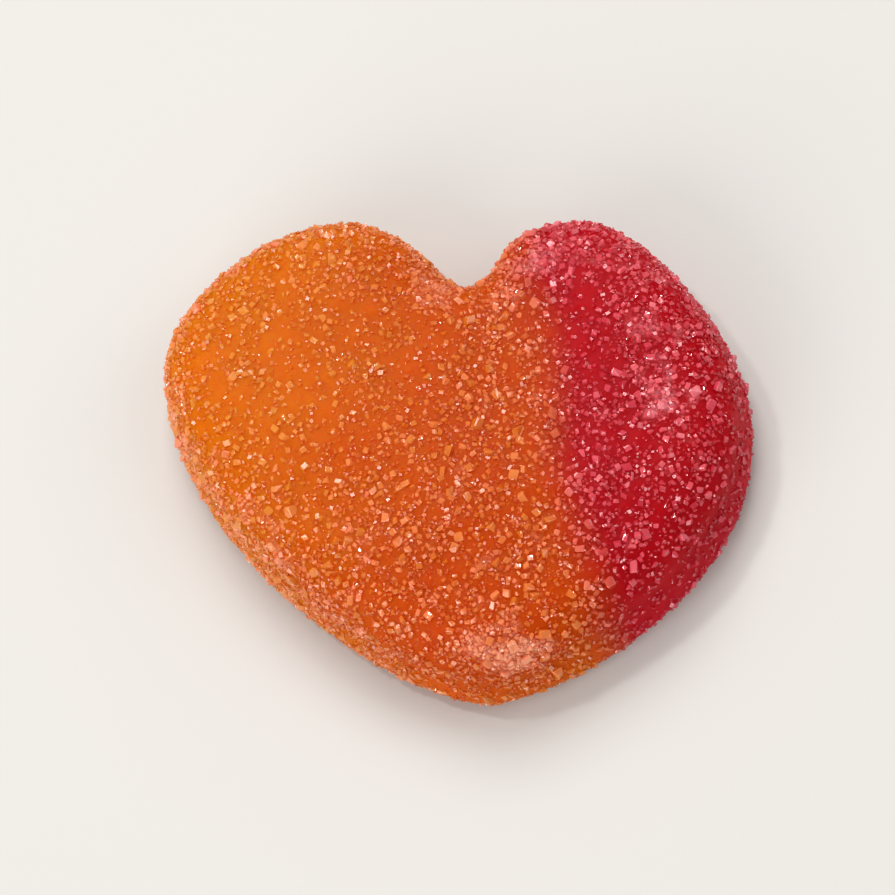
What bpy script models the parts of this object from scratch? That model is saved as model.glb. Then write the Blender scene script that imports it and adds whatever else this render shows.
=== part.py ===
"""A sugared gummy heart of two blended colours, lying on its flat back.

Metres, +Z up. The heart's axis runs along Y: the tip points to -Y and the notch between the
lobes to +Y. The origin is on the surface that the heart lies on, at the middle of its outline's
box. The heart was poured into a mould with its domed face down, so that face is the upper one
here: a crowned plateau with soft shoulders over a tapered wall. The back is flat, with a tight
edge. The largest crystals of its sugar coat are fused to the jelly.
"""

import math
import random
from typing import NamedTuple

import bmesh
import bpy
from mathutils import Euler, Matrix, Vector, noise
from mathutils.geometry import delaunay_2d_cdt, interpolate_bezier

MM = 0.001

# The outline's main points, in mm: across is +X from the heart's axis, along is +Y from the tip.
LEFT_REACH = 21.6
RIGHT_REACH = 18.4
LOBE_ALONG = 34.2
NOTCH_ALONG = 28.8
TIP_SHIFT = 1.3

# The section through the rim, in mm: how far in from the outline, and how high.
THICKNESS = 8.8
CROWN_RISE = 0.6
BACK_EDGE = 1.2
BACK_EDGE_STEPS = 3
WALL_TOP = 4.2
WALL_TAPER = 0.6
SHOULDER_REACH = 3.8
SHOULDER_STEPS = 5
SHOULDER_SWEEP = math.radians(84)

# The crease that runs from the notch into the face.
CREASE_DEPTH = 0.55
CREASE_HALF_WIDTH = 2.4
CREASE_END = 10.0

# The unevenness of a poured and dried sweet, in mm: size of the waves, and how far they push.
WAVE_SIZE = 9.0
WAVE_PUSH = 0.35
WAVE_PUSH_SIDEWAYS = 0.18
GRIT_SIZE = 1.3
GRIT_PUSH = 0.09

# The sugar crystals that are large enough to stand as shapes of their own, in mm.
CRYSTAL_COUNT = 330
CRYSTAL_SIDE = (0.65, 1.05)
CRYSTAL_GAP = 1.6
CRYSTAL_SINK = 0.08
CLEAR_OF_TABLE = 1.1
SEED = 7

JELLY_COLOUR = (0.617, 0.080, 0.019, 1.0)

# How finely the jelly is divided: the face's grid in mm, and points along each outline curve.
FACE_GRID = 1.35
FLANK_STEPS = 24
LOBE_STEPS = 17
CLEFT_STEPS = 13


class Anchor(NamedTuple):
    """A point of the outline with its heading in degrees, and the reach of its two handles."""

    across: float
    along: float
    heading: float
    before: float
    after: float
    steps: int


def outline_anchors():
    """The six points that shape the heart, anticlockwise seen from above."""
    return (
        Anchor(TIP_SHIFT, -0.15, 5, 5.6, 4.2, FLANK_STEPS),
        Anchor(RIGHT_REACH, 20.9, 102, 14.0, 3.4, LOBE_STEPS),
        Anchor(7.6, LOBE_ALONG - 0.9, 180, 5.2, 6.8, CLEFT_STEPS),
        Anchor(-0.1, NOTCH_ALONG, 178, 1.6, 2.2, CLEFT_STEPS),
        Anchor(-9.2, LOBE_ALONG, 182.5, 5.8, 7.2, LOBE_STEPS),
        Anchor(-LEFT_REACH, 22.3, 279, 5.3, 11.7, FLANK_STEPS),
    )


def outline_points():
    """The outline as points round the origin, in mm."""
    anchors = outline_anchors()
    points = []
    for here, there in zip(anchors, anchors[1:] + anchors[:1]):
        start = Vector((here.across, here.along))
        end = Vector((there.across, there.along))
        leave = Vector((math.cos(math.radians(here.heading)), math.sin(math.radians(here.heading))))
        reach = Vector((math.cos(math.radians(there.heading)), math.sin(math.radians(there.heading))))
        curve = interpolate_bezier(
            start, start + leave * here.after, end - reach * there.before, end, here.steps + 1
        )
        points += curve[:-1]
    low = Vector((min(p.x for p in points), min(p.y for p in points)))
    high = Vector((max(p.x for p in points), max(p.y for p in points)))
    middle = (low + high) / 2
    return [p - middle for p in points]


def inward_normals(points):
    """The direction into the heart at each point of its outline."""
    normals = []
    for i in range(len(points)):
        run = points[(i + 1) % len(points)] - points[i - 1]
        normals.append(Vector((-run.y, run.x)).normalized())
    return normals


def rim_section():
    """(inset, height) up the rim, from the flat back to the edge of the crowned face."""
    face_edge = THICKNESS - CROWN_RISE
    section = []
    for step in range(BACK_EDGE_STEPS + 1):
        turn = math.pi / 2 * step / BACK_EDGE_STEPS
        section.append((BACK_EDGE * (1 - math.sin(turn)), BACK_EDGE * (1 - math.cos(turn))))
    section.append((WALL_TAPER * 0.4, (BACK_EDGE + WALL_TOP) / 2))
    for step in range(SHOULDER_STEPS + 1):
        turn = SHOULDER_SWEEP * step / SHOULDER_STEPS
        inset = WALL_TAPER + SHOULDER_REACH * (1 - math.cos(turn))
        section.append((inset, WALL_TOP + (face_edge - WALL_TOP) * math.sin(turn)))
    return section


def crease_at(x, y, notch):
    """How far the face dips where the notch runs on into it."""
    back = (notch.y - y) / CREASE_END
    if not 0 <= back <= 1:
        return 0.0
    across = (x - notch.x) / CREASE_HALF_WIDTH
    return CREASE_DEPTH * math.exp(-across * across) * (1 - back) ** 2


def wave_at(place, size, push):
    """A smooth uneven push for a place given in mm."""
    return noise.noise(Vector(place) / size) * push


def face_points(edge, notch):
    """The crowned face: its edge, and a staggered grid inside it, as (points, triangles)."""
    flat = [p.xy for p in edge]
    reach = max(p.length for p in flat)
    row_gap = FACE_GRID * math.sqrt(3) / 2
    inside = []
    for row in range(-int(reach / row_gap), int(reach / row_gap) + 1):
        shift = FACE_GRID / 2 * (row % 2)
        for column in range(-int(reach / FACE_GRID) - 1, int(reach / FACE_GRID) + 1):
            place = Vector((column * FACE_GRID + shift, row * row_gap))
            if all((place - p).length > FACE_GRID * 0.6 for p in flat):
                inside.append(place)
    border = [(i, (i + 1) % len(flat)) for i in range(len(flat))]
    inside_only = 1
    made = delaunay_2d_cdt(flat + inside, border, [], inside_only, 1e-5)
    points = []
    for i, spot in enumerate(made[0]):
        nearest = min((spot - p).length for p in flat)
        rise = CROWN_RISE * math.sin(math.pi / 2 * min(1.0, nearest / (reach * 0.55)))
        height = edge[i].z if i < len(edge) else edge[0].z
        dip = crease_at(spot.x, spot.y, notch) * min(1.0, nearest / FACE_GRID)
        points.append(Vector((spot.x, spot.y, height + rise - dip)))
    return points, made[2]


def uneven(point):
    """Moves one point of the jelly, in mm, and leaves the flat back flat."""
    lift = min(1.0, point.z / WALL_TOP)
    across = wave_at(point, WAVE_SIZE, WAVE_PUSH_SIDEWAYS)
    along = wave_at(point.yzx + Vector((0, 0, 40)), WAVE_SIZE, WAVE_PUSH_SIDEWAYS)
    up = wave_at((point.x + 80, point.y, 0), WAVE_SIZE, WAVE_PUSH)
    up += wave_at(point + Vector((0, 0, 20)), GRIT_SIZE, GRIT_PUSH)
    return point + Vector((across, along, up)) * lift


def jelly_mesh():
    """The bare jelly: rings up the rim, the crowned face and the flat back."""
    outline = outline_points()
    normals = inward_normals(outline)
    notch = outline[FLANK_STEPS + LOBE_STEPS + CLEFT_STEPS]
    shape = bmesh.new()
    rings = []
    for inset, height in rim_section():
        ring = []
        for point, normal in zip(outline, normals):
            flat = point + normal * inset
            ring.append(Vector((flat.x, flat.y, height)))
        rings.append(ring)
    face, triangles = face_points(rings.pop(), notch)
    made = [[shape.verts.new(uneven(p) * MM) for p in ring] for ring in rings]
    top = [shape.verts.new(uneven(p) * MM) for p in face]
    made.append(top[: len(outline)])
    for lower, upper in zip(made, made[1:]):
        for i in range(len(outline)):
            j = (i + 1) % len(outline)
            shape.faces.new((lower[i], lower[j], upper[j], upper[i]))
    for triangle in triangles:
        shape.faces.new([top[i] for i in triangle])
    shape.faces.new(list(reversed(made[0])))
    spare = [v for v in shape.verts if not v.link_faces]
    bmesh.ops.delete(shape, geom=spare, context="VERTS")
    bmesh.ops.recalc_face_normals(shape, faces=shape.faces)
    bmesh.ops.triangulate(shape, faces=shape.faces)
    mesh = bpy.data.meshes.new("gummy_heart")
    shape.to_mesh(mesh)
    shape.free()
    return mesh


def crystal_places(mesh):
    """Evenly scattered (place, outward direction) pairs on the jelly, clear of the table."""
    draw = random.Random(SEED)
    mesh.calc_loop_triangles()
    corners = [[mesh.vertices[i].co for i in t.vertices] for t in mesh.loop_triangles]
    areas = [t.area for t in mesh.loop_triangles]
    directions = [t.normal.copy() for t in mesh.loop_triangles]
    places = []
    while len(places) < CRYSTAL_COUNT:
        pick = draw.choices(range(len(corners)), weights=areas)[0]
        a, b, c = corners[pick]
        u, v = draw.random(), draw.random()
        if u + v > 1:
            u, v = 1 - u, 1 - v
        place = a + (b - a) * u + (c - a) * v
        if place.z < CLEAR_OF_TABLE * MM:
            continue
        if any((place - other).length < CRYSTAL_GAP * MM for other, _ in places):
            continue
        places.append((place, directions[pick]))
    return places


def crystal_object(number, place, outward, draw, material):
    """One blocky sugar crystal, a leaning six-sided box, sunk a little into the jelly."""
    side = draw.uniform(*CRYSTAL_SIDE) * MM
    shape = bmesh.new()
    bmesh.ops.create_cube(shape, size=1.0)
    lean = Matrix.Shear("XY", 4, (draw.uniform(0.1, 0.3), 0.0))
    sides = Matrix.Diagonal((side, side * draw.uniform(0.7, 0.9), side * draw.uniform(0.6, 0.8), 1))
    turn = Euler([draw.uniform(0, math.tau) for _ in range(3)]).to_matrix().to_4x4()
    move = Matrix.Translation(place - outward * CRYSTAL_SINK * MM)
    shape.transform(move @ turn @ sides @ lean)
    mesh = bpy.data.meshes.new(f"crystal_{number}")
    shape.to_mesh(mesh)
    shape.free()
    mesh.materials.append(material)
    return bpy.data.objects.new(f"crystal_{number}", mesh)


def fuse(heart, pieces):
    """Joins the pieces to the heart by one Boolean union, and removes them."""
    group = bpy.data.collections.new("sugar")
    bpy.context.scene.collection.children.link(group)
    for piece in pieces:
        group.objects.link(piece)
    union = heart.modifiers.new("sugar", "BOOLEAN")
    union.operation = "UNION"
    union.operand_type = "COLLECTION"
    union.collection = group
    union.solver = "MANIFOLD"
    bpy.context.view_layer.update()
    ready = heart.evaluated_get(bpy.context.evaluated_depsgraph_get())
    fused = bpy.data.meshes.new_from_object(ready)
    heart.modifiers.clear()
    bare, heart.data = heart.data, fused
    bpy.data.meshes.remove(bare)
    for piece in pieces:
        bpy.data.meshes.remove(piece.data)
    bpy.data.collections.remove(group)


def sugared_jelly():
    """Orange jelly under a matt coat of sugar."""
    material = bpy.data.materials.new("sugared_jelly")
    material.use_nodes = True
    surface = material.node_tree.nodes["Principled BSDF"]
    surface.inputs["Base Color"].default_value = JELLY_COLOUR
    surface.inputs["Roughness"].default_value = 0.55
    surface.inputs["Metallic"].default_value = 0.0
    surface.inputs["Subsurface Weight"].default_value = 0.5
    surface.inputs["Subsurface Scale"].default_value = 2 * MM
    return material


def main():
    """Clears the scene and builds the heart."""
    for old in list(bpy.data.objects):
        bpy.data.objects.remove(old)
    material = sugared_jelly()
    jelly = jelly_mesh()
    jelly.materials.append(material)
    heart = bpy.data.objects.new("gummy_heart", jelly)
    bpy.context.scene.collection.objects.link(heart)
    draw = random.Random(SEED + 1)
    crystals = [
        crystal_object(i, place, outward, draw, material)
        for i, (place, outward) in enumerate(crystal_places(jelly))
    ]
    fuse(heart, crystals)
    heart.data.shade_smooth()
    heart.data.set_sharp_from_angle(angle=math.radians(35))


if __name__ == "__main__":
    main()
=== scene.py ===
"""The looks of a sugar-sanded gummy heart: a blended jelly body under loose crystals of sugar.

Metres, +Z up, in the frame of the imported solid. The heart lies on its flat back, with its tip
towards -Y and the notch between its lobes towards +Y. Sizes in the classes are in millimetres,
and light boxes and the floor are in metres.
"""

import logging
import math
from collections import defaultdict
from dataclasses import dataclass, field
from enum import Enum
from typing import Any, NamedTuple

import bmesh
import bpy
import numpy as np
from mathutils import Matrix, Vector, noise
from mathutils.geometry import delaunay_2d_cdt, interpolate_bezier


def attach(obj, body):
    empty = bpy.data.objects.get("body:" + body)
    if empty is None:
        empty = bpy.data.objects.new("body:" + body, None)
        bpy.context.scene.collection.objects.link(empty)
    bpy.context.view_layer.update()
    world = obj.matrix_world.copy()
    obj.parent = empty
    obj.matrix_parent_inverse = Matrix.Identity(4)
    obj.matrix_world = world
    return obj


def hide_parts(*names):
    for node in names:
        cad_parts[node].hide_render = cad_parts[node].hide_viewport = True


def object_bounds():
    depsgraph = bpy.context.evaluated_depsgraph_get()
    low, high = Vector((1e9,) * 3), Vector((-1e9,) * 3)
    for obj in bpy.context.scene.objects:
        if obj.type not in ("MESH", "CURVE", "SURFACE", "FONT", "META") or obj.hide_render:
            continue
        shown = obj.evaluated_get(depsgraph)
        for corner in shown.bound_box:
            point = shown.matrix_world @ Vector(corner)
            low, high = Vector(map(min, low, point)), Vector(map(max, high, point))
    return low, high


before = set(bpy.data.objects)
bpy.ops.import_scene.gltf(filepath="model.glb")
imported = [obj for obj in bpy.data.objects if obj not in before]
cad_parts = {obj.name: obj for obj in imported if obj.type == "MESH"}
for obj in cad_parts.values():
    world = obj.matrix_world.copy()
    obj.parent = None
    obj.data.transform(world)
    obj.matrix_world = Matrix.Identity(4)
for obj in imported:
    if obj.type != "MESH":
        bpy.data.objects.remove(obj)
CAD_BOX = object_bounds()

MM = 0.001
LOG = logging.getLogger("gummy_heart")

# The attribute that carries how thick the sugar lies, on the jelly and on every grain.
HEAPED = "heaped"

# Settings and sockets that many nodes share. The sockets are a Mix node's, when it mixes colours.
SMOOTH = {"interpolation_type": "SMOOTHSTEP"}
COLOUR_MIX = {"data_type": "RGBA"}
SHARE, FIRST, SECOND, MIXED = 0, 6, 7, 2


def linear(hex_colour: str) -> tuple[float, float, float, float]:
    """Turns an sRGB hex colour into linear light.

    Args:
        hex_colour: six hex digits, with or without a leading #.

    Returns:
        Red, green, blue and alpha, with alpha at 1.
    """
    digits = hex_colour.lstrip("#")
    parts = [int(digits[i : i + 2], 16) / 255 for i in (0, 2, 4)]
    lit = [c / 12.92 if c <= 0.04045 else ((c + 0.055) / 1.055) ** 2.4 for c in parts]
    return lit[0], lit[1], lit[2], 1.0


def add_node(
    tree: bpy.types.NodeTree,
    kind: str,
    settings: dict[str, Any] | None = None,
    feeds: dict[str | int, Any] | None = None,
) -> bpy.types.Node:
    """Adds one node with its settings and links.

    Args:
        tree: the material's node tree.
        kind: the node's type name after ShaderNode.
        settings: properties of the node itself.
        feeds: for each input, by name or number, a value or the output that is linked to it.

    Returns:
        The new node.
    """
    made = tree.nodes.new(f"ShaderNode{kind}")
    for name, value in (settings or {}).items():
        setattr(made, name, value)
    for name, value in (feeds or {}).items():
        if isinstance(value, bpy.types.NodeSocket):
            tree.links.new(value, made.inputs[name])
        else:
            made.inputs[name].default_value = value
    return made


def new_surface(name: str) -> tuple[bpy.types.Material, bpy.types.NodeTree]:
    """Makes an empty node material.

    Args:
        name: the material's name.

    Returns:
        The material and its node tree.
    """
    material = bpy.data.materials.new(name)
    material.use_nodes = True
    material.node_tree.nodes.clear()
    return material, material.node_tree


def mark_heaps(mesh: bpy.types.Mesh, thickness: np.ndarray) -> None:
    """Writes how thick the sugar lies at each point of a mesh, for its material to read."""
    mesh.attributes.new(HEAPED, "FLOAT", "POINT").data.foreach_set("value", thickness)


class Painted(NamedTuple):
    """What the blend gives a material: a place in millimetres and the colours there."""

    place: bpy.types.NodeSocket
    jelly: bpy.types.NodeSocket
    pale: bpy.types.NodeSocket


@dataclass(frozen=True)
class JellyColours:
    """How the two jellies blend, for whatever takes its colour from them.

    The boundary starts at the notch, swings right onto the lobe, runs straight down, and bends
    right again towards the tip, so that the tip is all orange. Orange deepens to the right. Low
    on the wall, where less jelly lies behind the skin, the colour is lightened: painted glow, for
    the light that shines through the thin jelly there.
    """

    pale_orange: str = "#d46702"
    deep_orange: str = "#c64300"
    bright_red: str = "#ba0513"
    deep_red: str = "#a8000d"
    sugar_on_orange: str = "#ffb28c"
    sugar_on_red: str = "#ff9ca4"
    boundary_across: float = 7.4
    bend: tuple[float, float, float] = (1.5, -17.0, 3.4)
    swing: tuple[float, float, float] = (4.0, 12.0, -2.4)
    blend_width: float = 4.6
    wander_size: float = 5.0
    wander: float = 2.4
    cloud_size: float = 7.0
    cloud_swing: float = 9.0
    deepens_along: float = -0.25
    deepens: tuple[float, float] = (-13.0, 8.0)
    # Up to wall_top the colour is lightened, most at the table: painted glow, for light through the
    # thin jelly.
    wall_top: float = 6.0
    painted_glow_gamma: float = 0.8

    def paint(self, tree: bpy.types.NodeTree) -> Painted:
        """Adds the nodes that give the blend's colours at each place.

        Args:
            tree: the material's node tree.

        Returns:
            The place, the jelly's colour with its painted glow low on the wall, and the colour of
            sugar that lies thick on it.
        """
        spot = add_node(tree, "TexCoord").outputs["Object"]
        scale = {"operation": "SCALE"}
        place = add_node(tree, "VectorMath", scale, {0: spot, "Scale": 1 / MM}).outputs[0]
        axes = add_node(tree, "SeparateXYZ", feeds={0: place}).outputs
        cloud = add_node(
            tree, "TexNoise", feeds={"Vector": place, "Scale": 1 / self.cloud_size, "Detail": 1.0}
        ).outputs[0]
        red = self.red_share(tree, place, axes)
        ends = linear(self.bright_red), linear(self.deep_red)
        redness = add_node(tree, "Mix", COLOUR_MIX, {SHARE: cloud, FIRST: ends[0], SECOND: ends[1]})
        blend = add_node(
            tree,
            "Mix",
            COLOUR_MIX,
            {SHARE: red, FIRST: self.orange(tree, cloud, axes), SECOND: redness.outputs[MIXED]},
        ).outputs[MIXED]
        # Painted glow: a gamma below 1 lightens the colour low on the wall, for light that shines
        # through the thin jelly there.
        thin = add_node(
            tree,
            "MapRange",
            SMOOTH,
            {"Value": axes["Z"], "From Min": 0.0, "From Max": self.wall_top, "To Min": self.painted_glow_gamma},
        ).outputs[0]
        glowing = add_node(tree, "Gamma", feeds={0: blend, 1: thin}).outputs[0]
        ends = linear(self.sugar_on_orange), linear(self.sugar_on_red)
        pale = add_node(tree, "Mix", COLOUR_MIX, {SHARE: red, FIRST: ends[0], SECOND: ends[1]})
        return Painted(place, glowing, pale.outputs[MIXED])

    def red_share(
        self,
        tree: bpy.types.NodeTree,
        place: bpy.types.NodeSocket,
        axes: bpy.types.NodeOutputs,
    ) -> bpy.types.NodeSocket:
        """Adds the nodes that say which jelly is where.

        Args:
            tree: the material's node tree.
            place: the place in millimetres.
            axes: the place's three coordinates.

        Returns:
            A share from 0, all orange, to 1, all red.
        """
        wander = add_node(
            tree, "TexNoise", feeds={"Vector": place, "Scale": 1 / self.wander_size, "Detail": 2.0}
        ).outputs[0]
        past = axes["X"]
        for start, end, shift in (self.bend, self.swing):
            reach = {"Value": axes["Y"], "From Min": start, "From Max": end, "To Max": shift}
            aside = add_node(tree, "MapRange", SMOOTH, reach).outputs[0]
            past = add_node(
                tree, "Math", {"operation": "SUBTRACT"}, {0: past, 1: aside}
            ).outputs[0]
        past = add_node(
            tree, "Math", {"operation": "MULTIPLY_ADD"}, {0: wander, 1: self.wander, 2: past}
        ).outputs[0]
        middle = self.boundary_across + self.wander / 2
        half = self.blend_width / 2
        edges = {"Value": past, "From Min": middle - half, "From Max": middle + half}
        return add_node(tree, "MapRange", SMOOTH, edges).outputs[0]

    def orange(
        self,
        tree: bpy.types.NodeTree,
        cloud: bpy.types.NodeSocket,
        axes: bpy.types.NodeOutputs,
    ) -> bpy.types.NodeSocket:
        """Adds the nodes that give the orange jelly's own colour.

        Args:
            tree: the material's node tree.
            cloud: a slow noise, which keeps the change from being even.
            axes: the place's three coordinates.

        Returns:
            The colour.
        """
        lean = axes["X"]
        for amount, factor in ((cloud, self.cloud_swing), (axes["Y"], self.deepens_along)):
            lean = add_node(
                tree, "Math", {"operation": "MULTIPLY_ADD"}, {0: amount, 1: factor, 2: lean}
            ).outputs[0]
        start, end = self.deepens
        depth = add_node(
            tree, "MapRange", SMOOTH, {"Value": lean, "From Min": start, "From Max": end}
        ).outputs[0]
        ends = linear(self.pale_orange), linear(self.deep_orange)
        mixed = add_node(tree, "Mix", COLOUR_MIX, {SHARE: depth, FIRST: ends[0], SECOND: ends[1]})
        return mixed.outputs[MIXED]


@dataclass(frozen=True)
class PouredJelly:
    """Gelatine jelly, poured into a starch mould and steamed before it was rolled in sugar.

    Starch leaves a matt skin, and steam and dissolved sugar leave it slightly cloudy, so light
    goes in, spreads a few millimetres and comes out glowing, and the skin itself hardly shines.
    Where the sugar lies thick, its dust frosts the skin in pale lumps. The pits that the starch
    leaves are about 0.02 mm across and would be lost, so they are drawn at 0.45 mm.
    """

    colours: JellyColours = field(default_factory=JellyColours)
    frost_grain: float = 0.3
    frost_lumps: tuple[float, float] = (0.34, 0.72)
    frost_most: float = 0.6
    frost_from: float = 0.65
    frost_full: float = 1.275
    skin_grain: float = 0.45
    skin_depth: float = 0.05
    roughness: float = 0.5
    ior: float = 1.45
    shine: float = 0.08
    glow_reach: float = 4.0
    glow_spread: tuple[float, float, float] = (1.0, 0.32, 0.14)

    def frost(
        self, tree: bpy.types.NodeTree, place: bpy.types.NodeSocket
    ) -> bpy.types.NodeSocket:
        """Adds the nodes that say how much frost lies on the skin.

        Args:
            tree: the material's node tree.
            place: the place in millimetres.

        Returns:
            The share that the frost covers.
        """
        grain = add_node(
            tree, "TexNoise", feeds={"Vector": place, "Scale": 1 / self.frost_grain, "Detail": 3.0}
        ).outputs[0]
        least, most = self.frost_lumps
        reach = {"Value": grain, "From Min": least, "From Max": most, "To Max": self.frost_most}
        lumps = add_node(tree, "MapRange", feeds=reach).outputs[0]
        heaped = add_node(tree, "Attribute", {"attribute_name": HEAPED}).outputs["Fac"]
        thick = add_node(
            tree,
            "MapRange",
            {"clamp": False},
            {"Value": heaped, "From Min": self.frost_from, "From Max": self.frost_full},
        ).outputs[0]
        return add_node(
            tree, "Math", {"operation": "MULTIPLY", "use_clamp": True}, {0: lumps, 1: thick}
        ).outputs[0]

    def material(self) -> bpy.types.Material:
        """Builds the material.

        Returns:
            The jelly's material.
        """
        made, tree = new_surface("poured_gelatine_jelly")
        painted = self.colours.paint(tree)
        frost = self.frost(tree, painted.place)
        hazy = add_node(
            tree, "Mix", COLOUR_MIX, {SHARE: frost, FIRST: painted.jelly, SECOND: painted.pale}
        )
        skin = add_node(
            tree,
            "TexNoise",
            feeds={"Vector": painted.place, "Scale": 1 / self.skin_grain, "Detail": 4.0},
        ).outputs[0]
        bump = add_node(
            tree, "Bump", feeds={"Height": skin, "Distance": self.skin_depth * MM, "Strength": 1.0}
        )
        surface = add_node(
            tree,
            "BsdfPrincipled",
            feeds={
                "Base Color": hazy.outputs[MIXED],
                "Roughness": self.roughness,
                "IOR": self.ior,
                "Specular IOR Level": self.shine,
                "Normal": bump.outputs[0],
                "Subsurface Weight": 1.0,
                "Subsurface Radius": self.glow_spread,
                "Subsurface Scale": self.glow_reach * MM,
            },
        )
        add_node(tree, "OutputMaterial", feeds={"Surface": surface.outputs[0]})
        return made


@dataclass(frozen=True)
class GranulatedSugar:
    """Refined sucrose, crystallised and sieved, so each grain is a clear block with flat sides.

    Light goes through a grain, so it is partly see-through and takes up the colour beneath it.
    A grain that lies alone is soaked with jelly, and only where grains lie on grains do they look
    white. The flat sides are glossy and catch the light one by one. Their growth steps are too
    fine to show, so they are drawn 0.16 mm wide.

    A grain's tint is a power of the jelly's colour, and its soak is a power of the pale colour.
    The lower the power, the paler the grain. How far a lone grain goes from the first colour to
    the second is by chance, from least_white to its cloudiness.
    """

    name: str
    tint: tuple[float, float]
    cloudiness: float
    colours: JellyColours = field(default_factory=JellyColours)
    clear_ones: float = 2.0
    least_white: float = 0.06
    alone: tuple[float, float] = (0.1, 0.55)
    alone_white: float = 0.3
    heap: tuple[float, float] = (0.55, 1.7)
    heap_white: float = 0.7
    soak: tuple[float, float] = (1.65, 1.15)
    roughness: float = 0.09
    ior: float = 1.56
    sparkle: float = 0.85
    body: float = 0.72
    step_size: float = 0.16
    step_depth: float = 0.012
    glow: float = 0.6
    glow_reach: float = 0.08
    glow_spread: tuple[float, float, float] = (1.0, 0.6, 0.45)

    def colour(
        self, tree: bpy.types.NodeTree, jelly: bpy.types.NodeSocket, pale: bpy.types.NodeSocket
    ) -> bpy.types.NodeSocket:
        """Adds the nodes that give each grain its colour.

        Args:
            tree: the material's node tree.
            jelly: the colour of the jelly beneath.
            pale: the colour of dry sugar there.

        Returns:
            The colour, between tinted and pale.
        """
        island = add_node(tree, "NewGeometry").outputs["Random Per Island"]
        chance = add_node(
            tree, "Math", {"operation": "POWER"}, {0: island, 1: self.clear_ones}
        ).outputs[0]
        heaped = add_node(tree, "Attribute", {"attribute_name": HEAPED}).outputs["Fac"]
        steps = []
        for value, reach, least, most in (
            (chance, (0.0, 1.0), *self.tint),
            (chance, (0.0, 1.0), self.least_white, self.cloudiness),
            (heaped, self.heap, *self.soak),
            (heaped, self.alone, self.alone_white, 1.0),
            (heaped, self.heap, 0.0, self.heap_white),
        ):
            ends = {"From Min": reach[0], "From Max": reach[1], "To Min": least, "To Max": most}
            steps.append(add_node(tree, "MapRange", feeds={"Value": value} | ends).outputs[0])
        tinting, own, soaking, kept, piled = steps
        tinted = add_node(tree, "Gamma", feeds={0: jelly, 1: tinting}).outputs[0]
        white = add_node(tree, "Gamma", feeds={0: pale, 1: soaking}).outputs[0]
        whiteness = add_node(
            tree, "Math", {"operation": "MULTIPLY_ADD", "use_clamp": True}, {0: own, 1: kept, 2: piled}
        ).outputs[0]
        mixed = add_node(tree, "Mix", COLOUR_MIX, {SHARE: whiteness, FIRST: tinted, SECOND: white})
        return mixed.outputs[MIXED]

    def material(self) -> bpy.types.Material:
        """Builds the material.

        Returns:
            The material of one size of grain.
        """
        made, tree = new_surface(self.name)
        painted = self.colours.paint(tree)
        steps = add_node(
            tree,
            "TexNoise",
            feeds={"Vector": painted.place, "Scale": 1 / self.step_size, "Detail": 1.0},
        ).outputs[0]
        bump = add_node(tree, "Bump", feeds={"Height": steps, "Distance": self.step_depth * MM})
        surface = add_node(
            tree,
            "BsdfPrincipled",
            feeds={
                "Base Color": self.colour(tree, painted.jelly, painted.pale),
                "Roughness": self.roughness,
                "IOR": self.ior,
                "Specular IOR Level": self.sparkle,
                "Alpha": self.body,
                "Normal": bump.outputs[0],
                "Subsurface Weight": self.glow,
                "Subsurface Radius": self.glow_spread,
                "Subsurface Scale": self.glow_reach * MM,
            },
        )
        add_node(tree, "OutputMaterial", feeds={"Surface": surface.outputs[0]})
        return made


@dataclass(frozen=True)
class SugarPatch:
    """A soft-edged oval of the face where the sugar lies thicker, or where it has rubbed off."""

    across: float
    along: float
    half_width: float
    half_length: float
    more: float

    def at(self, places: np.ndarray) -> np.ndarray:
        """How much this patch adds.

        Args:
            places: places on the jelly.

        Returns:
            The addition at each place, which fades out past the oval's edge.
        """
        x = (places[:, 0] - self.across) / self.half_width
        y = (places[:, 1] - self.along) / self.half_length
        return self.more * np.exp(-(x**2 + y**2))


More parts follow.
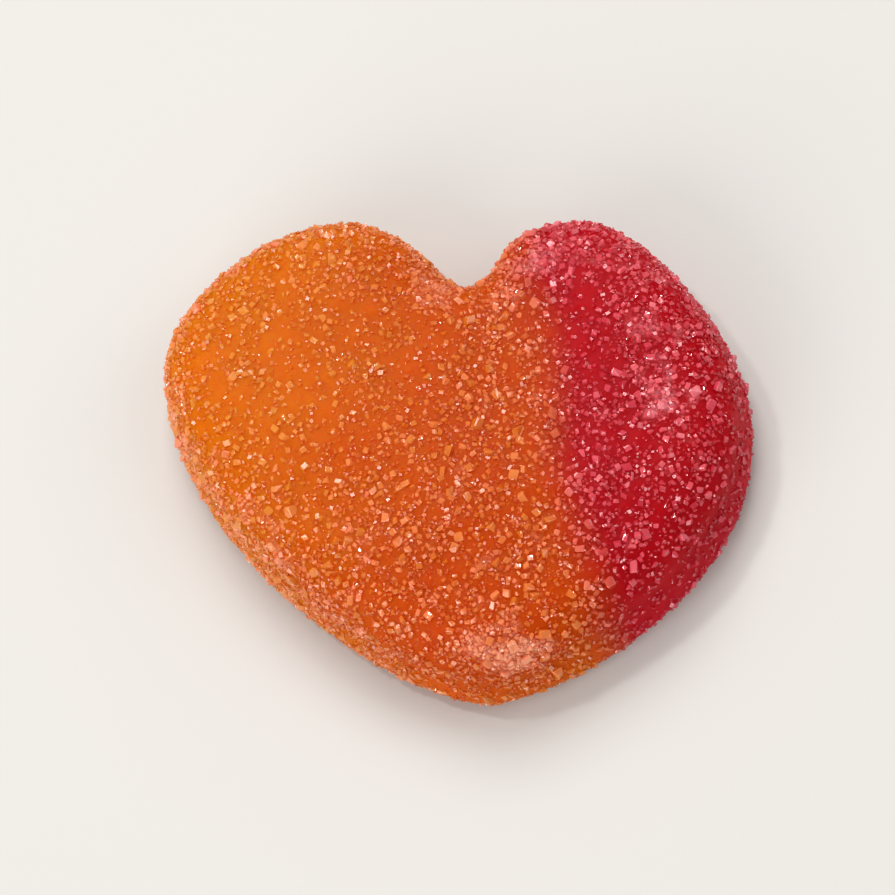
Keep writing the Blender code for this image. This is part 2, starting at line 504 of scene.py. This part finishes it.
@dataclass(frozen=True)
class SugarMap:
    """Where the sugar lies: thick on the shoulders, at the notch and by the tip, and in clumps.

    It is thin on the left of the face, and thinnest on the wall at the lower right.
    """

    face_share: float = 0.42
    wall_share: float = 0.3
    back_share: float = 0.35
    top_shoulder_more: float = 0.45
    lower_right_less: float = 0.22
    lower_right_lean: float = 0.6
    lower_left_more: float = 1.12
    lower_left_from: float = 0.25
    clumps: tuple[tuple[float, float], ...] = ((1.1, 0.9), (3.0, 0.7))
    least: float = 0.03
    most: float = 1.9
    patches: tuple[SugarPatch, ...] = (
        # Rubbed thin: the left of the face, below the notch, the red lobe and the tip's wall.
        SugarPatch(-10.7, 3.5, 6.5, 8.0, -0.32),
        SugarPatch(-1.2, 7.0, 3.4, 3.4, -0.3),
        SugarPatch(9.2, 7.4, 3.0, 3.4, -0.28),
        SugarPatch(-1.5, -16.2, 3.0, 1.3, -0.5),
        # Thick round the notch and over the tops of the lobes.
        SugarPatch(0.8, 12.0, 4.5, 2.6, 0.4),
        SugarPatch(7.5, 12.3, 2.6, 1.8, 0.3),
        SugarPatch(6.8, 11.8, 1.4, 1.0, 0.5),
        SugarPatch(3.6, 9.4, 1.5, 0.7, 0.6),
        SugarPatch(-2.0, 9.5, 1.5, 0.8, 0.5),
        SugarPatch(1.0, 10.9, 2.6, 1.2, 0.2),
        SugarPatch(-2.4, 12.6, 2.6, 1.4, 0.1),
        # Clumps on the right lobe.
        SugarPatch(15.2, 4.3, 1.8, 3.4, 0.1),
        SugarPatch(13.5, 6.5, 1.0, 1.3, 0.6),
        SugarPatch(15.2, 2.2, 0.9, 1.4, 0.95),
        SugarPatch(13.9, 0.4, 0.9, 0.7, 0.5),
        SugarPatch(16.8, 1.2, 0.7, 0.7, 0.6),
        # The lower left shoulder, the lower half of the face and the white clump by the tip.
        SugarPatch(-12.2, -7.0, 3.0, 3.2, 0.55),
        SugarPatch(-15.5, -3.0, 1.8, 3.0, 0.3),
        SugarPatch(0.3, -10.5, 7.5, 4.6, 0.16),
        SugarPatch(4.5, -15.6, 2.6, 1.4, 3.4),
        # Small clumps along the meeting of the two jellies.
        SugarPatch(2.8, 5.6, 0.9, 1.4, 0.35),
        SugarPatch(3.3, 2.8, 0.9, 1.6, 0.3),
    )

    def at(self, places: np.ndarray, outward: np.ndarray) -> np.ndarray:
        """How thick the sugar lies.

        Args:
            places: places on the jelly.
            outward: the surface's direction at each of them.

        Returns:
            For each place the share that sugar covers, over 1 where grains lie on grains.
        """
        up = np.clip(outward[:, 2], 0, 1)
        down = np.clip(-outward[:, 2], 0, 1)
        slope = 1 - np.abs(outward[:, 2])
        right, back = outward[:, 0], outward[:, 1]
        share = self.wall_share * (1 - up**2 - down**2)
        share += self.face_share * up**2 + self.back_share * down**2
        share += self.top_shoulder_more * np.clip(back, 0, 1) * up
        lower_right = np.clip(right - self.lower_right_lean * back, 0, 1) * slope
        lower_left = np.clip(-right - self.lower_left_from, 0, 1) * slope
        share += self.lower_left_more * lower_left - self.lower_right_less * lower_right
        for patch in self.patches:
            share += patch.at(places) * up
        for size, swing in self.clumps:
            share *= 1 + swing * np.array([noise.noise(Vector(p) / size) for p in places])
        return np.clip(share, self.least, self.most)


@dataclass(frozen=True)
class Anchor:
    """A point of the outline, its heading in degrees, and the reach of its two handles."""

    across: float
    along: float
    heading: float
    before: float
    after: float

    def facing(self) -> Vector:
        """The direction that the outline runs in here."""
        return Vector((math.cos(math.radians(self.heading)), math.sin(math.radians(self.heading))))


@dataclass(frozen=True)
class HeartOutline:
    """The heart seen from above, its left lobe a little wider and its tip off the middle."""

    left_reach: float = 21.6
    right_reach: float = 18.4
    lobe_along: float = 34.2
    notch_along: float = 28.8
    tip_shift: float = 1.3
    measuring_steps: int = 48
    drawing_steps: int = 200

    def anchors(self) -> tuple[Anchor, ...]:
        """Places the six points that shape the heart.

        Returns:
            The points, anticlockwise from the tip. The fourth is the notch.
        """
        return (
            Anchor(self.tip_shift, -0.15, 5.0, 5.6, 4.2),
            Anchor(self.right_reach, 20.9, 102.0, 14.0, 3.4),
            Anchor(7.6, self.lobe_along - 0.9, 180.0, 5.2, 6.8),
            Anchor(-0.1, self.notch_along, 178.0, 1.6, 2.2),
            Anchor(-9.2, self.lobe_along, 182.5, 5.8, 7.2),
            Anchor(-self.left_reach, 22.3, 279.0, 5.3, 11.7),
        )

    def middle(self) -> Vector:
        """Finds the middle of the outline's box.

        Returns:
            The place that becomes the frame's origin.
        """
        curve = self.curve(self.measuring_steps)
        low = Vector((min(p.x for p in curve), min(p.y for p in curve)))
        high = Vector((max(p.x for p in curve), max(p.y for p in curve)))
        return (low + high) / 2

    def curve(self, steps: int) -> list[Vector]:
        """The outline as points, from its own origin.

        Args:
            steps: how many points each of the six curves gets.

        Returns:
            The points, anticlockwise from the tip.
        """
        anchors = self.anchors()
        points: list[Vector] = []
        for here, there in zip(anchors, anchors[1:] + anchors[:1]):
            start = Vector((here.across, here.along))
            end = Vector((there.across, there.along))
            leave = start + here.facing() * here.after
            reach = end - there.facing() * there.before
            points += interpolate_bezier(start, leave, reach, end, steps + 1)[:-1]
        return points

    def points(self, spacing: float) -> list[Vector]:
        """The outline round the frame's origin, in points an even distance apart.

        Args:
            spacing: the distance from one point to the next.

        Returns:
            The points, anticlockwise from the tip.
        """
        fine = np.array(self.curve(self.drawing_steps)) - np.array(self.middle())
        closed = np.vstack([fine, fine[:1]])
        run = np.concatenate([[0.0], np.cumsum(np.linalg.norm(np.diff(closed, axis=0), axis=1))])
        stops = np.linspace(0.0, run[-1], round(run[-1] / spacing), endpoint=False)
        return [
            Vector((np.interp(s, run, closed[:, 0]), np.interp(s, run, closed[:, 1]))) for s in stops
        ]

    def notch(self) -> Vector:
        """The notch between the lobes, round the frame's origin."""
        _, _, _, notch, _, _ = self.anchors()
        return Vector((notch.across, notch.along)) - self.middle()


@dataclass(frozen=True)
class RimSection:
    """The section through the rim, from the flat back to the edge of the crowned face."""

    thickness: float = 8.8
    crown_rise: float = 0.6
    back_edge: float = 1.2
    back_edge_steps: int = 4
    wall_top: float = 4.2
    wall_taper: float = 0.6
    wall_bow: float = 1.3
    wall_steps: int = 4
    shoulder_reach: float = 3.8
    shoulder_steps: int = 7
    shoulder_sweep: float = math.radians(84)
    back_lift: float = 0.3

    def rings(self) -> list[tuple[float, float]]:
        """Walks up the rim.

        Returns:
            Each ring's inset from the outline and its height.
        """
        face_edge = self.thickness - self.crown_rise
        rings = []
        for step in range(self.back_edge_steps):
            turn = math.pi / 2 * step / self.back_edge_steps
            rings.append(
                (self.back_edge * (1 - math.sin(turn)), self.back_edge * (1 - math.cos(turn)))
            )
        for step in range(self.wall_steps):
            share = step / self.wall_steps
            height = self.back_edge + (self.wall_top - self.back_edge) * share
            rings.append((self.wall_taper * share**self.wall_bow, height))
        for step in range(self.shoulder_steps + 1):
            turn = self.shoulder_sweep * step / self.shoulder_steps
            inset = self.wall_taper + self.shoulder_reach * (1 - math.cos(turn))
            height = self.wall_top + (face_edge - self.wall_top) * math.sin(turn)
            rings.append((inset, height))
        return [(inset, self.lifted(height)) for inset, height in rings]

    def lifted(self, height: float) -> float:
        """Raises the back clear of the table, by the sugar that the heart rests on."""
        return self.back_lift + height * (1 - self.back_lift / self.thickness)


@dataclass(frozen=True)
class Unevenness:
    """How pouring and drying left the jelly: slow waves, grit and dimples, and how far each pushes.

    Each offset only picks another part of the noise.
    """

    wave_size: float = 9.0
    wave_push: float = 0.35
    wave_push_sideways: float = 0.18
    grit_size: float = 1.3
    grit_push: float = 0.09
    dimple_size: float = 0.55
    dimple_push: float = 0.05
    along_offset: float = 40.0
    wave_offset: float = 80.0
    grit_offset: float = 20.0

    def push(self, point: Vector) -> Vector:
        """How far a point moves where nothing holds it down.

        Args:
            point: the point before it is moved.

        Returns:
            The way that it moves.
        """
        across = noise.noise(point / self.wave_size) * self.wave_push_sideways
        turned = point.yzx + Vector((0, 0, self.along_offset))
        along = noise.noise(turned / self.wave_size) * self.wave_push_sideways
        flat = Vector((point.x + self.wave_offset, point.y, 0))
        up = noise.noise(flat / self.wave_size) * self.wave_push
        gritty = point + Vector((0, 0, self.grit_offset))
        up += noise.noise(gritty / self.grit_size) * self.grit_push
        up += noise.noise(point / self.dimple_size) * self.dimple_push
        return Vector((across, along, up))


@dataclass
class JellyBody:
    """The jelly itself, from a cage of rings and two filled faces, smoothed and made uneven."""

    finish: PouredJelly
    sugar: SugarMap
    outline: HeartOutline = field(default_factory=HeartOutline)
    section: RimSection = field(default_factory=RimSection)
    unevenness: Unevenness = field(default_factory=Unevenness)
    cage_spacing: float = 0.85
    edge_clearance: float = 0.6
    smoothing: int = 2
    crown_run: float = 9.4
    crease_depth: float = 0.55
    crease_half_width: float = 2.4
    crease_end: float = 10.0
    crease_clearance: float = 1.35

    def fill(self, edge: list[Vector]) -> tuple[list[Vector], list[list[int]]]:
        """Fills a ring with a staggered grid.

        Args:
            edge: the ring, seen from above.

        Returns:
            The points, the ring's own first, and the triangles between them.
        """
        reach = max(p.length for p in edge)
        gap = self.cage_spacing
        row_gap = gap * math.sqrt(3) / 2
        border = np.array(edge)
        inside = []
        for row in range(-int(reach / row_gap), int(reach / row_gap) + 1):
            for column in range(-int(reach / gap) - 1, int(reach / gap) + 1):
                place = Vector((column * gap + gap / 2 * (row % 2), row * row_gap))
                nearest = np.linalg.norm(border - np.array(place), axis=1).min()
                if nearest > gap * self.edge_clearance:
                    inside.append(place)
        ring = [(i, (i + 1) % len(edge)) for i in range(len(edge))]
        inside_only, tolerance = 1, 1e-5
        made = delaunay_2d_cdt(edge + inside, ring, [], inside_only, tolerance)
        return list(made[0]), [list(t) for t in made[2]]

    def crown_at(self, spot: Vector, edge: np.ndarray) -> float:
        """How far the face stands above its own edge.

        Args:
            spot: a place on the face, seen from above.
            edge: the face's edge.

        Returns:
            The rise of the crown, less the crease that runs on from the notch.
        """
        nearest = np.linalg.norm(edge - np.array(spot), axis=1).min()
        rise = self.section.crown_rise * math.sin(math.pi / 2 * min(1.0, nearest / self.crown_run))
        notch = self.outline.notch()
        back = (notch.y - spot.y) / self.crease_end
        if not 0 <= back <= 1:
            return rise
        across = (spot.x - notch.x) / self.crease_half_width
        dip = self.crease_depth * math.exp(-across * across) * (1 - back) ** 2
        return rise - dip * min(1.0, nearest / self.crease_clearance)

    def cage(self) -> bpy.types.Mesh:
        """Makes the coarse shape: rings up the rim, the crowned face and the flat back.

        Returns:
            The shape's mesh, closed all round.
        """
        outline = self.outline.points(self.cage_spacing)
        inward = []
        for i in range(len(outline)):
            run = outline[(i + 1) % len(outline)] - outline[i - 1]
            inward.append(Vector((-run.y, run.x)).normalized())
        shape = bmesh.new()
        rings = []
        for inset, height in self.section.rings():
            flat = [point + normal * inset for point, normal in zip(outline, inward)]
            rings.append([shape.verts.new((p.x, p.y, height)) for p in flat])
        for lower, upper in zip(rings, rings[1:]):
            for i in range(len(outline)):
                j = (i + 1) % len(outline)
                shape.faces.new((lower[i], lower[j], upper[j], upper[i]))
        for ring, crowned in ((rings[0], False), (rings[-1], True)):
            edge = [v.co.xy for v in ring]
            border = np.array(edge)
            spots, triangles = self.fill(edge)
            filled = dict(enumerate(ring))
            for i in sorted({i for corners in triangles for i in corners} - set(filled)):
                rise = self.crown_at(spots[i], border) if crowned else 0.0
                filled[i] = shape.verts.new((spots[i].x, spots[i].y, ring[0].co.z + rise))
            for corners in triangles:
                shape.faces.new([filled[i] for i in corners])
        bmesh.ops.recalc_face_normals(shape, faces=shape.faces)
        mesh = bpy.data.meshes.new("gummy_body")
        shape.to_mesh(mesh)
        shape.free()
        return mesh

    def uneven(self, point: Vector) -> Vector:
        """Moves a point of the jelly, and keeps the back flat."""
        height = max(0.0, point.z - self.section.back_lift)
        return point + self.unevenness.push(point) * min(1.0, height / self.section.wall_top)

    def build(self) -> bpy.types.Object:
        """Makes the body and dresses it.

        Returns:
            The body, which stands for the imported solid.
        """
        body = bpy.data.objects.new("gummy_body", self.cage())
        bpy.context.scene.collection.objects.link(body)
        smoother = body.modifiers.new("smoothing", "SUBSURF")
        smoother.levels = smoother.render_levels = self.smoothing
        bpy.context.view_layer.update()
        ready = body.evaluated_get(bpy.context.evaluated_depsgraph_get())
        fine = bpy.data.meshes.new_from_object(ready)
        body.modifiers.clear()
        for vertex in fine.vertices:
            vertex.co = self.uneven(vertex.co) * MM
        fine.shade_smooth()
        body.data = fine
        self.dress(body)
        return body

    def dress(self, body: bpy.types.Object) -> None:
        """Gives the body its finish and its frost, and puts it in the solid's place.

        Args:
            body: the jelly.
        """
        mesh = body.data
        places = np.array([v.co[:] for v in mesh.vertices]) / MM
        outward = np.array([v.normal[:] for v in mesh.vertices])
        mark_heaps(mesh, self.sugar.at(places, outward))
        mesh.materials.append(self.finish.material())
        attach(body, "root")
        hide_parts("gummy_heart")


class CrystalCut(Enum):
    """The forms that a grain of sugar comes in, from the largest to dust."""

    BLOCK = "block with worn edges"
    CHIP = "plain chip"

    def form(self) -> tuple[np.ndarray, np.ndarray]:
        """One grain with sides of 1, round the origin.

        Returns:
            Its points, and its triangles as rows of three.
        """
        # Rolling wears an eighth or so of a side off each edge of the larger grains.
        worn_off = 0.12
        shape = bmesh.new()
        bmesh.ops.create_cube(shape, size=1.0)
        if self is CrystalCut.BLOCK:
            bmesh.ops.bevel(
                shape,
                geom=list(shape.edges),
                offset=worn_off,
                segments=1,
                affect="EDGES",
                clamp_overlap=True,
            )
        bmesh.ops.triangulate(shape, faces=shape.faces)
        shape.verts.index_update()
        points = np.array([v.co[:] for v in shape.verts])
        triangles = np.array([[v.index for v in f.verts] for f in shape.faces])
        shape.free()
        return points, triangles


@dataclass
class SurfaceSampler:
    """Draws places on the jelly, more where the sugar map is thick."""

    corners: np.ndarray
    outward: np.ndarray
    area: np.ndarray

    @classmethod
    def over(cls, body: bpy.types.Object) -> "SurfaceSampler":
        """Reads the body's triangles, in millimetres.

        Args:
            body: the jelly.

        Returns:
            A sampler over its whole surface.
        """
        mesh = body.data
        mesh.calc_loop_triangles()
        points = np.empty(len(mesh.vertices) * 3)
        mesh.vertices.foreach_get("co", points)
        indices = np.empty(len(mesh.loop_triangles) * 3, np.int32)
        mesh.loop_triangles.foreach_get("vertices", indices)
        corners = points.reshape(-1, 3)[indices.reshape(-1, 3)] / MM
        across = np.cross(corners[:, 1] - corners[:, 0], corners[:, 2] - corners[:, 0])
        length = np.linalg.norm(across, axis=1)
        # A triangle without area points nowhere, and this keeps its length from being zero.
        least = 1e-12
        return cls(corners, across / np.maximum(length, least)[:, None], length / 2)

    def draw(
        self, count: int, sugar: SugarMap, chance: np.random.Generator
    ) -> tuple[np.ndarray, np.ndarray]:
        """Draws places at random.

        Args:
            count: how many to draw.
            sugar: how thick the sugar lies.
            chance: the source of the draw.

        Returns:
            The places, and the surface's direction at each.
        """
        weight = self.area * sugar.at(self.corners.mean(axis=1), self.outward)
        picked = chance.choice(len(weight), size=count, p=weight / weight.sum())
        u, v = chance.random((2, count))
        over = u + v > 1
        u[over], v[over] = 1 - u[over], 1 - v[over]
        a, b, c = (self.corners[picked, i] for i in range(3))
        places = a + (b - a) * u[:, None] + (c - a) * v[:, None]
        return places, self.outward[picked]


@dataclass
class Crowd:
    """The grains that are already down, kept in cells so that near ones are found quickly.

    A cell's side is no less than the largest distance asked for.
    """

    cell: float
    cells: dict[tuple[int, int, int], list[tuple[float, float, float, float]]] = field(
        default_factory=lambda: defaultdict(list)
    )

    def has_room(self, place: tuple[float, float, float], room: float) -> bool:
        """Tells whether a grain fits, and puts it down if it does.

        Args:
            place: the middle of the grain.
            room: the radius that it keeps to itself.

        Returns:
            True if it was put down.
        """
        x, y, z = place
        i, j, k = (math.floor(c / self.cell) for c in place)
        for di in (-1, 0, 1):
            for dj in (-1, 0, 1):
                for dk in (-1, 0, 1):
                    for ox, oy, oz, other in self.cells.get((i + di, j + dj, k + dk), ()):
                        apart = (ox - x) ** 2 + (oy - y) ** 2 + (oz - z) ** 2
                        if apart < (room + other) ** 2:
                            return False
        self.cells[i, j, k].append((x, y, z, room))
        return True


@dataclass
class SugarCoat:
    """One size of grain, scattered over the whole jelly and pressed a little into it."""

    name: str
    cut: CrystalCut
    finish: GranulatedSugar
    count: int
    side: tuple[float, float]
    crowding: float
    sunk: float
    seed: int
    draws: int = 3
    small_ones: float = 1.6
    tumble: float = 0.6
    chipped: float = 0.06
    width_share: tuple[float, float] = (0.65, 0.95)
    height_share: tuple[float, float] = (0.5, 0.85)
    slant: tuple[float, float] = (0.1, 0.35)
    clear_of_table: float = 0.02

    def scatter(
        self, sampler: SurfaceSampler, sugar: SugarMap, crowd: Crowd, chance: np.random.Generator
    ) -> tuple[np.ndarray, np.ndarray, np.ndarray]:
        """Finds room for the grains.

        Args:
            sampler: draws places on the jelly.
            sugar: how thick the sugar lies.
            crowd: the grains that are already down.
            chance: the source of every draw.

        Returns:
            The places, the surface's direction at each, and each grain's longest side.
        """
        places, outward = sampler.draw(self.count * self.draws, sugar, chance)
        least, most = self.side
        sides = least + (most - least) * chance.random(len(places)) ** self.small_ones
        kept = []
        for i, (place, side) in enumerate(zip(places.tolist(), sides.tolist())):
            if crowd.has_room(tuple(place), side / 2 * self.crowding):
                kept.append(i)
            if len(kept) == self.count:
                break
        return places[kept], outward[kept], sides[kept]

    def turns(self, outward: np.ndarray, chance: np.random.Generator) -> np.ndarray:
        """Lays each grain roughly flat on the jelly, turned any way and tipped a little.

        Args:
            outward: the surface's direction under each grain.
            chance: the source of every draw.

        Returns:
            A rotation matrix for each grain.
        """
        count = len(outward)
        tipped = outward + chance.normal(0, self.tumble, (count, 3))
        tipped /= np.linalg.norm(tipped, axis=1)[:, None]
        aside = np.cross(tipped, chance.normal(0, 1, (count, 3)))
        aside /= np.linalg.norm(aside, axis=1)[:, None]
        return np.stack([aside, np.cross(tipped, aside), tipped], axis=2)

    def grow(
        self,
        points: np.ndarray,
        places: np.ndarray,
        outward: np.ndarray,
        sides: np.ndarray,
        chance: np.random.Generator,
    ) -> np.ndarray:
        """Shapes every grain and lays it in its place.

        Args:
            points: the points of one grain with sides of 1.
            places: where each grain lies.
            outward: the surface's direction under each.
            sides: each grain's longest side.
            chance: the source of every draw.

        Returns:
            Every grain's points, clear of the table.
        """
        count = len(places)
        widths = chance.uniform(*self.width_share, count)
        heights = chance.uniform(*self.height_share, count)
        shares = np.stack([np.ones(count), widths, heights], axis=1)
        worn = points[None] + chance.normal(0, self.chipped, (count, len(points), 3))
        leaning = worn * shares[:, None] * sides[:, None, None]
        leaning[:, :, 0] += leaning[:, :, 2] * chance.uniform(*self.slant, count)[:, None]
        turned = np.einsum("nij,npj->npi", self.turns(outward, chance), leaning)
        lift = sides * (heights / 2 - self.sunk)
        grains = places[:, None] + outward[:, None] * lift[:, None, None] + turned
        lowest = grains[:, :, 2].min(axis=1, keepdims=True)
        grains[:, :, 2] += np.maximum(0.0, self.clear_of_table - lowest)
        return grains

    def build(self, sampler: SurfaceSampler, sugar: SugarMap, crowd: Crowd) -> bpy.types.Object:
        """Makes the grains as one piece and dresses them.

        Args:
            sampler: draws places on the jelly.
            sugar: how thick the sugar lies.
            crowd: the grains that are already down.

        Returns:
            The piece.
        """
        chance = np.random.default_rng(self.seed)
        places, outward, sides = self.scatter(sampler, sugar, crowd, chance)
        points, triangles = self.cut.form()
        grains = self.grow(points, places, outward, sides, chance)
        rows = triangles[None] + (np.arange(len(places)) * len(points))[:, None, None]
        mesh = bpy.data.meshes.new(self.name)
        mesh.from_pydata(grains.reshape(-1, 3) * MM, [], rows.reshape(-1, 3))
        mesh.shade_flat()
        mark_heaps(mesh, np.repeat(sugar.at(places, outward), len(points)))
        piece = bpy.data.objects.new(self.name, mesh)
        bpy.context.scene.collection.objects.link(piece)
        self.dress(piece)
        return piece

    def dress(self, piece: bpy.types.Object) -> None:
        """Gives the grains their finish and lets them ride on the heart.

        Args:
            piece: the grains of one size.
        """
        piece.data.materials.append(self.finish.material())
        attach(piece, "root")


@dataclass(frozen=True)
class CameraStand:
    """A long lens that looks down on the face, with the heart's axis upright in the picture."""

    elevation: float = 68.0
    azimuth: float = 25.0
    lens: float = 200.0
    nearest: float = 0.01
    heart_share: float = 0.68

    def place(self, low: Vector, high: Vector) -> bpy.types.Object:
        """Makes the camera.

        Args:
            low: the lowest corner of the heart's box.
            high: the highest corner.

        Returns:
            The camera.
        """
        lift, turn = math.radians(self.elevation), math.radians(self.azimuth)
        back = Vector(
            (math.sin(turn) * math.cos(lift), -math.cos(turn) * math.cos(lift), math.sin(lift))
        )
        axis = Vector((0, 1, 0))
        up = (axis - back * axis.dot(back)).normalized()
        right = up.cross(back)
        data = bpy.data.cameras.new("camera")
        data.lens = self.lens
        data.clip_start = self.nearest
        camera = bpy.data.objects.new("camera", data)
        distance = (high.x - low.x) / self.heart_share * self.lens / data.sensor_width
        facing = Matrix((right, up, back)).transposed().to_4x4()
        camera.matrix_world = Matrix.Translation((low + high) / 2 + back * distance) @ facing
        bpy.context.scene.collection.objects.link(camera)
        bpy.context.scene.camera = camera
        return camera


@dataclass(frozen=True)
class SoftBox:
    """A square light with a diffuser, that points at the heart. Metres and watts."""

    name: str
    place: tuple[float, float, float]
    side: float
    power: float
    colour: str = "#ffffff"

    def hang(self) -> bpy.types.Object:
        """Makes the light.

        Returns:
            The light, in its place.
        """
        data = bpy.data.lights.new(self.name, "AREA")
        data.shape = "SQUARE"
        data.size = self.side
        data.energy = self.power
        data.color = linear(self.colour)[:3]
        light = bpy.data.objects.new(self.name, data)
        light.location = self.place
        light.rotation_euler = Vector(self.place).to_track_quat("Z", "Y").to_euler()
        bpy.context.scene.collection.objects.link(light)
        return light


@dataclass(frozen=True)
class PaperSweep:
    """Matt white background paper, calendered, so it is even and hardly shines.

    Its real tooth is about 0.1 mm and would be lost, so it is drawn at 0.8 mm.
    """

    colour: str = "#d0cdc8"
    roughness: float = 0.9
    tooth: float = 0.8
    tooth_depth: float = 0.01
    tooth_strength: float = 0.5

    def material(self) -> bpy.types.Material:
        """Builds the material.

        Returns:
            The paper's material.
        """
        made, tree = new_surface("matt_background_paper")
        spot = add_node(tree, "TexCoord").outputs["Object"]
        tooth = add_node(
            tree, "TexNoise", feeds={"Vector": spot, "Scale": 1 / (self.tooth * MM), "Detail": 2.0}
        ).outputs[0]
        depth = {"Distance": self.tooth_depth * MM, "Strength": self.tooth_strength}
        bump = add_node(tree, "Bump", feeds={"Height": tooth} | depth)
        surface = add_node(
            tree,
            "BsdfPrincipled",
            feeds={
                "Base Color": linear(self.colour),
                "Roughness": self.roughness,
                "Normal": bump.outputs[0],
            },
        )
        add_node(tree, "OutputMaterial", feeds={"Surface": surface.outputs[0]})
        return made


@dataclass
class Studio:
    """A pale floor under soft light that comes mostly from behind the lobes."""

    floor_side: float = 3.0
    sky: str = "#ffffff"
    sky_strength: float = 0.43
    paper: PaperSweep = field(default_factory=PaperSweep)
    lights: tuple[SoftBox, ...] = (
        SoftBox("key_box", (-0.05, 0.42, 0.62), 0.4, 3.35),
        SoftBox("fill_box", (-0.3, -0.42, 0.25), 0.45, 2.0),
        SoftBox("right_box", (0.42, 0.06, 0.42), 0.35, 0.65),
        SoftBox("glint_box", (-0.28, 0.16, 0.7), 0.06, 1.0),
    )

    def build(self) -> bpy.types.Object:
        """Makes the floor, the lights and the sky, and sets how colours are shown.

        Returns:
            The floor.
        """
        mesh = bpy.data.meshes.new("floor")
        half = self.floor_side / 2
        mesh.from_pydata(
            [(-half, -half, 0), (half, -half, 0), (half, half, 0), (-half, half, 0)],
            [],
            [(0, 1, 2, 3)],
        )
        mesh.materials.append(self.paper.material())
        floor = bpy.data.objects.new("floor", mesh)
        bpy.context.scene.collection.objects.link(floor)
        for light in self.lights:
            light.hang()
        world = bpy.data.worlds.new("sky")
        world.use_nodes = True
        backdrop = world.node_tree.nodes["Background"]
        backdrop.inputs["Color"].default_value = linear(self.sky)
        backdrop.inputs["Strength"].default_value = self.sky_strength
        bpy.context.scene.world = world
        bpy.context.scene.view_settings.view_transform = "Standard"
        return floor


def sugar_coats() -> tuple[SugarCoat, ...]:
    """Chooses the three sizes of sugar that a retail bag holds.

    Returns:
        The coats in the order they are laid, from the coarsest to dust.
    """
    return (
        SugarCoat(
            "sugar_coarse",
            CrystalCut.BLOCK,
            GranulatedSugar("coarse_granulated_sugar", (0.6, 0.42), 0.95),
            count=500,
            side=(0.5, 0.75),
            crowding=0.95,
            sunk=0.4,
            seed=11,
        ),
        SugarCoat(
            "sugar_medium",
            CrystalCut.BLOCK,
            GranulatedSugar("fine_granulated_sugar", (0.66, 0.48), 0.9),
            count=4500,
            side=(0.28, 0.5),
            crowding=0.9,
            sunk=0.35,
            seed=12,
        ),
        SugarCoat(
            "sugar_fine",
            CrystalCut.CHIP,
            GranulatedSugar("sugar_dust", (0.85, 0.6), 0.5),
            count=13000,
            side=(0.12, 0.3),
            crowding=0.85,
            sunk=0.25,
            seed=13,
        ),
    )


def report(piece: bpy.types.Object) -> None:
    """Logs a finished piece and how many faces it has."""
    LOG.info("%s: %d faces", piece.name, len(piece.data.polygons))


def main() -> None:
    """Builds the heart, its sugar and the studio, in that order."""
    logging.basicConfig(level=logging.INFO, format="%(name)s: %(message)s")
    sugar = SugarMap()
    body = JellyBody(PouredJelly(), sugar).build()
    report(body)
    sampler = SurfaceSampler.over(body)
    coats = sugar_coats()
    crowd = Crowd(cell=max(coat.side[1] for coat in coats))
    for coat in coats:
        report(coat.build(sampler, sugar, crowd))
    report(Studio().build())
    CameraStand().place(*CAD_BOX)


if __name__ == "__main__":
    main()
